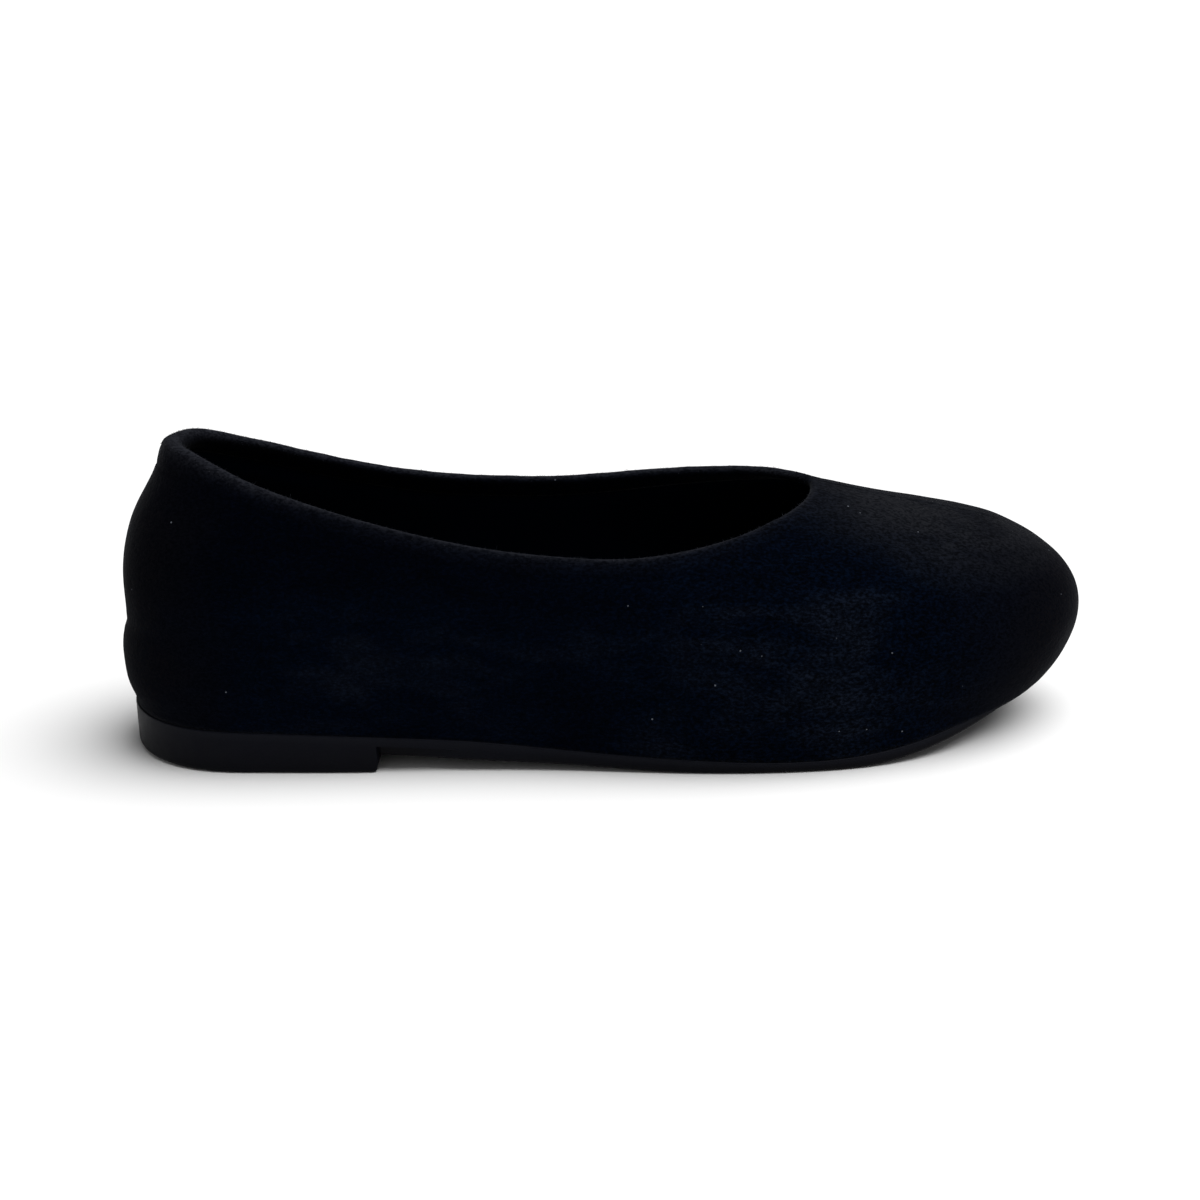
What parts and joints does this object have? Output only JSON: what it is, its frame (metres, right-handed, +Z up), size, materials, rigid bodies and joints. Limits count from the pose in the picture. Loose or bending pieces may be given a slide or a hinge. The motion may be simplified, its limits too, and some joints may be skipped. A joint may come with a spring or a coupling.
{
  "type": "ballet flat shoe",
  "caption": "Right-foot ballet flat in dark suede with a high vamp, a high heel counter, a rolled collar and a thin moulded rubber sole with a low heel.",
  "frame": {"origin": "middle of the whole shoe's bounding box, on the floor plane that the heel and the forefoot stand on", "axes": "+X from heel to toe, +Y to the medial side (the wearer's left), +Z up; the lateral side is at -Y"},
  "size_m": [0.248, 0.0801, 0.08],
  "materials": {
    "suede": "napped suede, blue-black",
    "sole_rubber": "satin moulded rubber, black",
    "footbed": "smooth matt lining leather, black"
  },
  "bodies": {
    "root": {"upper": "suede", "outsole": "sole_rubber", "insole": "footbed"}
  },
  "joints": []
}
